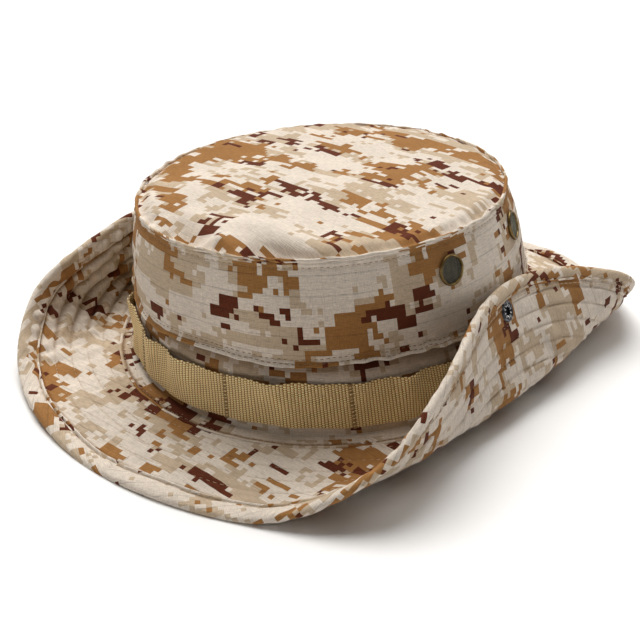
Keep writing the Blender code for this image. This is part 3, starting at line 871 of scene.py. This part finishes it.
def webbing_point(arc, share, lift=0.0):
    """A point on the webbing's outer face; share runs from 0 at its foot to 1 at its top edge."""
    bow = webbing_bow(arc)
    height = WEBBING_FOOT + share * WEBBING_WIDTH
    height = height + (0.55 * bow - 0.45) * share + 0.35 * ripple(arc, 0.0, 71, 70.0)
    scallop = 0.10 * np.abs(np.sin(np.pi * arc / RIB_PITCH))
    height = height + scallop * (2.0 * share - 1.0) * (np.abs(share - 0.5) > 0.47)
    offset = 0.1 + 0.8 * bow**0.8 * (0.35 + 0.65 * soft(share * 1.2))
    offset = offset + (0.7 + 1.1 * share) * bow**0.5 * np.maximum(ripple(arc, height, 72, 20.0, 2.6), -0.6)
    return crown_point(angle_of(arc), height, offset + lift)


def build_webbing():
    ribs = int(round(GIRTH / RIB_PITCH))
    arc, share = np.linspace(0.0, GIRTH, ribs * 4 + 1)[None, :], np.linspace(0.0, 1.0, 34)[:, None]
    arc, share = np.broadcast_arrays(arc, share)
    rib = 0.22 * np.abs(np.sin(np.pi * arc * ribs / GIRTH)) ** 0.8
    round_edge = 0.35 * (bell(share, 0.02) + bell(1.0 - share, 0.02))
    place = np.minimum(arc, GIRTH - 1e-6)
    outer, inner = (webbing_point(place, share, lift) for lift in (rib - round_edge, round_edge - 0.9))
    near = sum(bell((arc - tack + GIRTH / 2) % GIRTH - GIRTH / 2, 1.6) for tack in bartack_arcs())
    # Painted shade beside the bartacks and along both edges.
    shade = -0.05 * near - 0.06 * (bell(share, 0.03) + bell(1.0 - share, 0.03))
    uv = paired(arc * ribs * RIB_PITCH / GIRTH, share * WEBBING_WIDTH)
    piece = cloth_solid("webbing_band", outer, inner, uv, (WEBBING,), True, None, shade)
    fix(piece, CROWN, WEBBING_SLOT, "branch_loop_webbing")


def build_bartacks():
    """Each bartack is a column of short stitches across the webbing, sewn twice over."""
    lines, normals = [], []
    rng = np.random.default_rng(81)
    for tack in bartack_arcs():
        for column in (-0.12, 0.12):
            share = np.linspace(0.015, 0.985, BARTACK_STITCHES) + 0.08 * column
            centre = tack + column + rng.uniform(-0.15, 0.15, BARTACK_STITCHES)
            arcs = centre[:, None] + np.array((-0.95, -0.5, 0.5, 0.95))
            slope = share[:, None] + 0.008 * np.array((-1.0, -0.5, 0.5, 1.0))
            lines.append(webbing_point(arcs % GIRTH, slope, np.array((0.05, 0.33, 0.33, 0.05))))
            normals.append(crown_normal(angle_of(arcs), WEBBING_FOOT + slope * WEBBING_WIDTH))
    radii = 0.26 * np.array((0.5, 1.0, 1.0, 0.5))
    piece = strands("webbing_bartacks", np.concatenate(lines), np.concatenate(normals), radii, THREAD_KHAKI)
    fix(piece, CROWN, WEBBING_SLOT)


def build_crown_stitches():
    angle = crown_columns(STITCH_COLUMNS)[0][0]
    runs = []
    tucked = ((TUCK_HEIGHT + row, 2) for row in TUCK_STITCHES)
    for height, seed in ((CROWN_HEIGHT - TOP_STITCH_DROP, 1), *tucked):
        still = np.full_like(angle, height)
        tall = waved(arc_of(angle), still)
        path = crown_point(angle, tall, side_relief(angle, still))
        runs.append(stitch_run(path, crown_normal(angle, tall), 2.5, 1.8, 0.06, seed))
    steps = np.full_like(angle, FLANGE_STITCHES)
    path = band_surface(angle, steps)
    slope = band_surface(angle, steps + 0.02) - path
    runs.append(stitch_run(path, unit(np.cross(slope, np.gradient(path, axis=0))), 2.7, 2.0, 0.12, 4))
    fix(stitches("crown_stitches", runs, STITCH_RADIUS, THREAD_BROWN), CROWN, CAMO_SLOT)


def build_back_seam_stitches():
    """Two rows, one on each side of the side panel's seam at the back."""
    rise = np.linspace(TUCK_HEIGHT + 4.0, CROWN_HEIGHT - 3.5, 90)
    runs = []
    for shift in (-1.6, 1.6):
        turn = np.full_like(rise, math.pi / 2) + shift / 95.0
        path = crown_point(turn, rise, side_relief(turn, rise))
        runs.append(stitch_run(path, crown_normal(turn, rise), 2.7, 2.0, 0.12, 7))
    fix(stitches("crown_back_seam_stitches", runs, THICK_STITCH_RADIUS, THREAD_TAN), CROWN, CAMO_SLOT)


def lining_strip(name, low, high, offset, thickness, material, seed, span=None, rows=26):
    """A strip sewn inside the crown, all round or over a span of angles."""
    if span is None:
        angle, arc = crown_columns(LINING_COLUMNS)
    else:
        angle = np.linspace(*span, 70)[None, :]
        arc = arc_of(angle)
    height = np.linspace(low, high, rows)[:, None]
    angle, height, arc = np.broadcast_arrays(angle, height, arc)
    edge = bell(height - low, 0.9) + bell(height - high, 0.9)
    relief = 0.14 * ripple(arc, height, seed, 11.0, 2.0) - 0.15 * edge
    back, face = crown_point(angle, height, offset), crown_point(angle, height, offset - thickness - relief)
    return cloth_solid(name, face, back, paired(arc, height), (material,), span is None)


def build_linings():
    label_span = (math.pi / 2 - LABEL_HALF_ANGLE, math.pi / 2 + LABEL_HALF_ANGLE)
    piece = lining_strip("sweatband_lining", 1.0, 29.0, -2.6, 0.9, SWEATBAND, 91)
    fix(piece, CROWN, SWEATBAND_SLOT, "sweatband")
    piece = lining_strip("top_seam_tape_lining", 69.4, 72.6, -1.4, 0.7, TAPE, 92, None, 10)
    fix(piece, CROWN, "seam_tape", "top_seam_tape")
    piece = lining_strip("blank_label", 7.5, 23.5, -3.8, 0.4, LABEL, 93, label_span)
    fix(piece, CROWN, "label_cloth", "size_label_blank")
    round_crown = crown_columns(STITCH_COLUMNS)[0][0]
    on_label = np.linspace(label_span[0] + 0.012, label_span[1] - 0.012, 60)
    runs = []
    # Each row: its angles, height, offset, stitch pitch and length, and seed.
    for angle, height, offset, pitch, length, seed in (
        (round_crown, 3.0, -3.6, 3.0, 2.2, 5),
        (round_crown, 27.0, -3.6, 3.0, 2.2, 6),
        (on_label, 8.6, -4.3, 2.4, 1.8, 8),
        (on_label, 22.4, -4.3, 2.4, 1.8, 8),
    ):
        tall = np.full_like(angle, height)
        path, normals = crown_point(angle, tall, offset), -crown_normal(angle, tall)
        runs.append(stitch_run(path, normals, pitch, length, 0.1, seed))
    fix(stitches("lining_stitches", runs, THICK_STITCH_RADIUS, THREAD_TAN), CROWN, SWEATBAND_SLOT)


# Brim.

def leftness(angle, share):
    """1 on the left flap, whose rows are the most stuffed, and 0 on the rest of the brim."""
    return soft((-brim_outline(angle, share)[0] - 74.0) / 24.0)


def quilt_relief(angle, share, face):
    """Height of the stuffed rows between stitch lines, on the brim's upper face (1) or under face (-1)."""
    from_edge = (1.0 - share) * brim_width(angle)
    u, v = brim_outline(angle, share)
    phase = (from_edge - HEM_TOP) / QUILT_PITCH
    frac = np.abs(2.0 * (phase - np.floor(phase)) - 1.0)
    deep = leftness(angle, share) if face > 0 else 0.13
    pillow = 1.0 - frac ** (7.0 - 4.8 * deep)
    front = 1.0 - 0.45 * soft((-v - 60.0) / 50.0)
    around = angle * 112.0
    size = (0.45 + 2.0 * deep) * front
    relief = size * pillow * (1.0 + 0.25 * ripple(around, from_edge, 101 + face, 15.0, 0.8))
    pucker = ripple(around, from_edge, 105 + face, 6.5, 2.6)
    relief = relief + (0.18 + 0.85 * deep) * front * pucker * pillow
    relief = relief + 0.10 * ripple(around, from_edge, 109 + face, 12.0, 1.5)
    if face > 0:
        crinkle = bell(u + 86.0, 27.0) * bell(v + 92.0, 34.0)
        relief = relief + 0.75 * crinkle * ripple(u, v, 131, 8.5, 1.4) + 0.35 * crinkle
    relief = np.maximum(relief, -0.3)
    return relief * (1.0 - near_snap(angle, share)) + 0.15 * near_snap(angle, share)


def half_angles(side, count):
    low = -0.5 * math.pi if side == "right" else 0.5 * math.pi
    return np.linspace(low, low + math.pi, count)[None, :]


def quilt_shade(angle, share, face):
    """Painted shade in the stitched grooves and beside the hem."""
    from_edge = (1.0 - share) * brim_width(angle)
    phase = (from_edge - HEM_TOP) / QUILT_PITCH
    groove = np.abs(phase - np.round(phase)) * QUILT_PITCH
    deep, hem = (leftness(angle, share), HEM_TOP) if face > 0 else (0.12, HEM_UNDER)
    return -(0.15 + 0.30 * deep) * bell(groove, 0.42 + 0.9 * deep) - 0.40 * bell(from_edge - hem - 0.5, 0.6)


def brim_sheet(name, side, outer_offset, inner_offset, face, materials, rows=BRIM_ROWS):
    """One ply of half the brim, from inside the seam to the hem; face 0 is the smooth stiffener."""
    from_seam = np.linspace(0.0, 1.0, rows)[:, None]
    angle, from_seam = np.broadcast_arrays(half_angles(side, BRIM_COLUMNS), from_seam)
    share = -0.075 + from_seam * (1.075 - PLY_END / brim_width(angle))
    relief = quilt_relief(angle, share, face) if face else 0.0
    shade = quilt_shade(angle, share, face) if face else None
    outer = brim_point(angle, share, outer_offset + face * relief)
    inner = brim_point(angle, share, inner_offset)
    uv = np.stack(brim_outline(angle, share), axis=-1)
    return cloth_solid(name, outer, inner, uv, materials, False, None, shade)


# The hem's section: distances from the brim's edge and offsets from its middle, upper face first.
HEM_PROFILE = (
    (HEM_TOP, 0.75), (HEM_TOP + 0.1, 1.9), (9.1, 2.2), (8.5, 1.7), (8.0, 1.0), (7.5, 1.6), (6.0, 2.1),
    (4.0, 2.25), (2.2, 2.05), (0.8, 1.6), (0.1, 0.8), (0.0, 0.0), (0.1, -0.8), (0.8, -1.6), (2.2, -2.05),
    (3.8, -2.0), (4.8, -1.8), (5.2, -1.35), (5.7, -1.95), (HEM_UNDER, -1.8), (HEM_UNDER, -0.75),
    (2.0, -0.6), (2.0, 0.6),
)
HEM_STITCHES_TOP, HEM_STITCHES_UNDER = 8.0, 5.2


def hem_surface(angle, distance, offset):
    around = angle * 150.0
    full = np.abs(offset) > 1.3
    offset = offset + np.sign(offset) * full * 0.16 * ripple(around, distance, 121, 8.0, 2.0)
    distance = distance + 0.22 * ripple(around, 0.0, 122, 24.0) * (distance > 0.5)
    return brim_point(angle, 1.0 - distance / brim_width(angle), offset)


def build_hem(side):
    profile = rounded(HEM_PROFILE, 1)
    profile = np.concatenate((profile, profile[:1]))
    angle = half_angles(side, HEM_COLUMNS)
    angle, distance, offset = np.broadcast_arrays(angle, profile[:, :1], profile[:, 1:])
    path = lengths_along(profile)[:, None]
    # The hem is cut on the bias, so its print is turned.
    around = np.linspace(0.0, 1.0, HEM_COLUMNS)[None, :] * HEM_LENGTH * SIDES[side]
    uv = paired(around * HEM_BIAS[0] - path * HEM_BIAS[1], around * HEM_BIAS[1] + path * HEM_BIAS[0])
    # Painted highlights on the hem's rolled edge and inner lip, and painted shade along its stitch rows.
    shade = 0.05 * bell(distance, 0.8) + 0.12 * bell(distance - 9.2, 0.5) * (offset > 0)
    shade = shade - 0.36 * bell(distance - HEM_STITCHES_TOP, 0.4)
    shade = shade - 0.15 * bell(distance - HEM_STITCHES_UNDER, 0.4) * (offset < 0)
    piece = tube(f"brim_hem_{side}", hem_surface(angle, distance, offset), uv, (CAMO["hem"],), False, shade)
    bend(piece, side, CAMO_SLOT, *(f"brim_edge_binding_{part}" for part in ("front", "back", f"flap_{side}")))


def build_brim_stitches(side):
    """The quilting rows on both faces of half the brim, and the hem's rows."""
    angle = half_angles(side, STITCH_COLUMNS)[0]
    width = brim_width(angle)
    runs = []
    for face in (1, -1):
        for row in HEM_TOP + QUILT_PITCH * np.arange(1, 6):
            share = 1.0 - row / width
            fits = share > 0.05
            path = brim_point(angle, share, face * (PLY_FACE + quilt_relief(angle, share, face)))
            normal = brim_normal(angle, share) * face
            for part in np.split(np.arange(len(angle)), np.flatnonzero(np.diff(fits.astype(int))) + 1):
                if len(part) > 20 and fits[part[0]]:
                    runs.append(stitch_run(path[part], normal[part], 3.0, 2.2, 0.0, int(row) + face))
    # Each row of the hem: its distance from the edge, its offset from the middle and its lift.
    for distance, offset, lift in (
        (HEM_STITCHES_TOP, 1.1, 0.05), (HEM_STITCHES_UNDER, -1.4, 0.05), (HEM_STITCHES_TOP + 0.1, -1.05, 0.2),
    ):
        share = 1.0 - distance / width
        if distance < HEM_UNDER or offset > 0:
            path = hem_surface(angle, np.full_like(angle, distance), np.full_like(angle, offset))
        else:
            path = brim_point(angle, share, -(PLY_FACE + quilt_relief(angle, share, -1)))
        normal = brim_normal(angle, share) * math.copysign(1.0, offset)
        runs.append(stitch_run(path, normal, 3.0, 2.3, lift, 40))
    bend(stitches(f"brim_stitches_{side}", runs, STITCH_RADIUS, THREAD_TAN), side, CAMO_SLOT)


def build_brim(side):
    for name, node, face in (("upper", "upper_ply", 1), ("under", "under_ply", -1)):
        ply = (CAMO[f"brim_{name}"], REVERSE)
        piece = brim_sheet(f"brim_{name}_{side}", side, face * PLY_FACE, face * PLY_BACK, face, ply)
        bend(piece, side, CAMO_SLOT, f"brim_{node}", f"brim_{node}_flap_{side}")
    piece = brim_sheet(f"brim_stiffener_{side}", side, STIFFENER_HALF, -STIFFENER_HALF, 0, (INTERLINING,), 40)
    bend(piece, side, "interlining", "brim_interlining", f"brim_interlining_flap_{side}")
    build_hem(side)
    build_brim_stitches(side)


# Hardware.

# A vent rim's section: radii and heights.
RIM_PROFILE = (
    (5.50, -1.4), (6.0, -1.4), (6.05, 0.05), (6.55, 0.05), (6.75, 0.45), (6.65, 1.0), (6.30, 1.35),
    (5.90, 1.35), (5.62, 1.05), (5.50, 0.5),
)


def build_vent(side, end, angle):
    origin, normal = crown_point(angle, VENT_HEIGHT), crown_normal(angle, VENT_HEIGHT)
    where = f"{side}_{end}"
    piece = turned(f"vent_rim_ring_{where}", RIM_PROFILE, origin, normal, BRASS)
    fix(piece, CROWN, BRASS_SLOT, f"vent_rim_{where}")
    washer = ((6.3, -2.4), (7.5, -2.2), (7.5, -1.75), (6.3, -1.55))
    piece = turned(f"vent_back_washer_{where}", washer, origin, normal, BRASS, times=1)
    fix(piece, CROWN, BRASS_SLOT, f"vent_washer_{where}")
    first, second = basis(normal)
    pitch, reach = 0.62, 5.5
    lines = []
    for axis, other, start in ((first, second, 0.0), (second, first, math.pi)):
        for k in range(-8, 9):
            half = math.sqrt(reach**2 - (k * pitch) ** 2)
            run = np.linspace(-half, half, 49)
            sway = 0.13 * np.cos(math.pi * run / pitch + start + math.pi * k)
            lines.append(origin + np.outer(run, axis) + k * pitch * other + np.outer(0.45 + sway, normal))
    lines = np.stack(lines)
    piece = strands(f"vent_wire_cloth_{where}", lines, np.broadcast_to(normal, lines.shape), 0.17, WIRE)
    fix(piece, CROWN, "vent_mesh", f"vent_screen_{where}")


def prongs(name, origin, normal, count, inner, outer, height, width, material):
    """A crown of rounded petals, as a cap rivet's prongs are when pressed over."""
    first, second = basis(normal)
    spin = np.arange(count) * TURN / count
    spoke = np.cos(spin)[:, None] * first + np.sin(spin)[:, None] * second
    radius = np.linspace(inner, outer, 7)
    rise = height * np.sin(np.linspace(0.15, 0.9, 7) * math.pi)
    lines = origin + spoke[:, None, :] * radius[None, :, None] + (rise[:, None] * normal)[None]
    radii = width * np.sqrt(np.sin(np.linspace(0.08, 0.92, 7) * math.pi))
    return strands(name, lines, np.broadcast_to(normal, lines.shape), radii, material)


def build_snap(side):
    angle, share = snap_place(side)
    normal = brim_normal(angle, share)
    flap = f"flap_{side}"
    outside = brim_point(angle, share, -1.12)
    ring = ((3.45, 0.0), (4.8, 0.0), (4.8, 0.55), (4.35, 1.15), (3.75, 1.15), (3.45, 0.7))
    piece = turned(f"snap_outer_ring_{side}", ring, outside, -normal, GUNMETAL)
    fix(piece, flap, METAL_SLOT, f"snap_ring_{side}")
    # The cup under the prongs is painted near black, standing in for the shade in the snap's hollow.
    cup = ((0.02, 0.1), (1.7, 0.1), (1.9, 0.5), (3.5, 0.4), (3.5, 0.0), (0.02, 0.0))
    fix(turned(f"snap_cup_{side}", cup, outside, -normal, HOLLOW_SHADE, times=1), flap, METAL_SLOT)
    petals = prongs(f"snap_prongs_{side}", outside, -normal, 10, 2.0, 3.4, 0.9, 0.40, CHROME)
    fix(petals, flap, METAL_SLOT)
    inside = brim_point(angle, share, 1.12)
    socket = ((2.5, 0.0), (4.7, 0.0), (4.7, 0.8), (3.9, 1.5), (2.9, 1.5), (2.5, 0.9))
    piece = turned(f"snap_socket_ring_{side}", socket, inside, normal, GUNMETAL)
    fix(piece, flap, METAL_SLOT, f"snap_socket_{side}")
    low, high = (np.array(corner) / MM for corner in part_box(f"snap_stud_{side}"))
    place = (low + high) / 2 - CENTRE_SHIFT
    turn = math.atan2(place[1] / HEAD_HALF_LENGTH, place[0] / HEAD_HALF_WIDTH)
    seat, out = crown_point(turn, place[2]), crown_normal(turn, place[2])
    stud = ((0.02, 0.1), (4.2, 0.1), (4.2, 0.5), (1.9, 0.75), (1.9, 1.2), (1.2, 1.45), (0.02, 1.45))
    piece = turned(f"snap_stud_cap_{side}", stud, seat + out * 0.35, out, GUNMETAL, times=1)
    fix(piece, CROWN, METAL_SLOT, f"snap_stud_{side}")
    post = ((0.02, -2.5), (3.4, -2.4), (3.7, -2.0), (3.6, -1.7), (0.02, -1.7))
    piece = turned(f"snap_post_cap_{side}", post, seat, out, GUNMETAL, times=1)
    fix(piece, CROWN, METAL_SLOT, f"snap_post_{side}")


for build in (
    build_side, build_top, build_top_seam, build_band, build_webbing, build_bartacks, build_crown_stitches,
    build_back_seam_stitches, build_linings,
):
    build()
for side in SIDES:
    build_brim(side)
    build_snap(side)
for side, end, angle in vents():
    build_vent(side, end, angle)


# Studio.

def build_studio():
    floor_mesh = bpy.data.meshes.new("studio_floor")
    reach = 6.0
    corners = ((-reach, -reach, 0.0), (reach, -reach, 0.0), (reach, reach, 0.0), (-reach, reach, 0.0))
    floor_mesh.from_pydata(corners, (), ((0, 1, 2, 3),))
    paper = Paint("studio_paper", 0.9)
    coordinates = paper.node("ShaderNodeTexCoord", output=3)
    fibre = paper.noise(coordinates, 40.0, 3.0)
    tone = paper.spread(fibre, 0.3, 0.7, 0.985, 1.0)
    paper.set(paper.shader.inputs["Base Color"], paper.brighten((0.93, 0.93, 0.93, 1.0), tone))
    floor_mesh.materials.append(paper.material)
    floor = bpy.data.objects.new("studio_floor", floor_mesh)
    bpy.context.scene.collection.objects.link(floor)

    world = bpy.data.worlds.new("studio")
    world.use_nodes = True
    world.node_tree.nodes["Background"].inputs[0].default_value = (1.0, 0.95, 0.90, 1.0)
    world.node_tree.nodes["Background"].inputs[1].default_value = 0.12
    bpy.context.scene.world = world

    # Each light: name, strength, angle in degrees, colour, and the direction it comes from.
    for name, strength, spread, colour, towards in (
        ("studio_key", 3.55, 46.0, (1.0, 0.99, 0.97), (-0.46, 0.34, 1.0)),
        ("studio_back", 0.60, 40.0, (1.0, 0.99, 0.98), (0.02, 0.95, 1.0)),
        ("studio_fill", 0.18, 60.0, (1.0, 0.90, 0.78), (-0.10, -0.80, 1.0)),
    ):
        light = bpy.data.lights.new(name, "SUN")
        light.energy, light.angle, light.color = strength, math.radians(spread), colour
        lamp = bpy.data.objects.new(name, light)
        lamp.rotation_euler = Vector(towards).to_track_quat("Z", "Y").to_euler()
        bpy.context.scene.collection.objects.link(lamp)


def build_camera():
    azimuth, elevation, roll = (math.radians(a) for a in (38.99, 28.88, 1.54))
    right = Vector((math.cos(azimuth), math.sin(azimuth), 0.0))
    level = math.cos(elevation)
    back = Vector((math.sin(azimuth) * level, -math.cos(azimuth) * level, math.sin(elevation)))
    up = back.cross(right)
    turned_right = right * math.cos(roll) + up * math.sin(roll)
    turned_up = up * math.cos(roll) - right * math.sin(roll)
    camera = bpy.data.objects.new("camera", bpy.data.cameras.new("camera"))
    camera.data.sensor_width = 36.0
    camera.data.lens = 78.6
    matrix = Matrix((turned_right, turned_up, back)).transposed().to_4x4()
    matrix.translation = Vector((354.3, -453.5, 328.4)) * MM
    camera.matrix_world = matrix
    bpy.context.scene.collection.objects.link(camera)
    bpy.context.scene.camera = camera


build_studio()
build_camera()
bpy.context.scene.view_settings.view_transform = "Standard"
